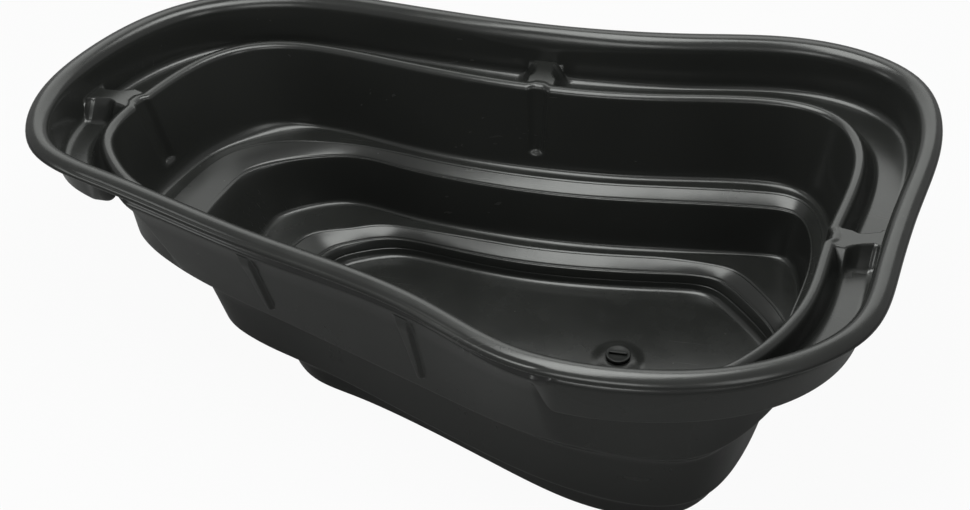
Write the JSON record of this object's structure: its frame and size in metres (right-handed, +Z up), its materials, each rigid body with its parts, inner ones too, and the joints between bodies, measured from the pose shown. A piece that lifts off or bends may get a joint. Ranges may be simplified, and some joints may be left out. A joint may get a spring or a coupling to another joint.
{
  "type": "livestock water trough",
  "caption": "Black moulded water basin with a rolled rim, a marsh channel behind a low ridge, stepped shelves, a fluted wall and a screw-in drain plug in its floor.",
  "frame": {"origin": "on the ground, under the middle of the rim's outline", "axes": "+X along the basin's length to its broad, deep end, +Y to the side with the long channel, +Z up"},
  "size_m": [1.6228, 0.9994, 0.414],
  "materials": {
    "basin": "satin black polyethylene, slightly uneven from the mould",
    "seal": "matt",
    "plug": "satin"
  },
  "bodies": {
    "shell": {"basin_shell": "basin"},
    "seal": {"drain_seal": "seal"},
    "plug": {"drain_plug": "plug"}
  },
  "joints": [
    {"name": "plug_lift", "type": "slide", "parent": "shell", "child": "seal", "axis": [0, 0, 1], "range_m": [0, 0.012]},
    {"name": "plug_turn", "type": "hinge", "parent": "seal", "child": "plug", "pos_m": [0.28, -0.016, 0.014], "axis": [0, 0, 1], "range_deg": [0, 360]}
  ],
  "couplings": [
    {"joint": "plug_lift", "follows": "plug_turn", "m_per_rad": 0.0019099}
  ]
}
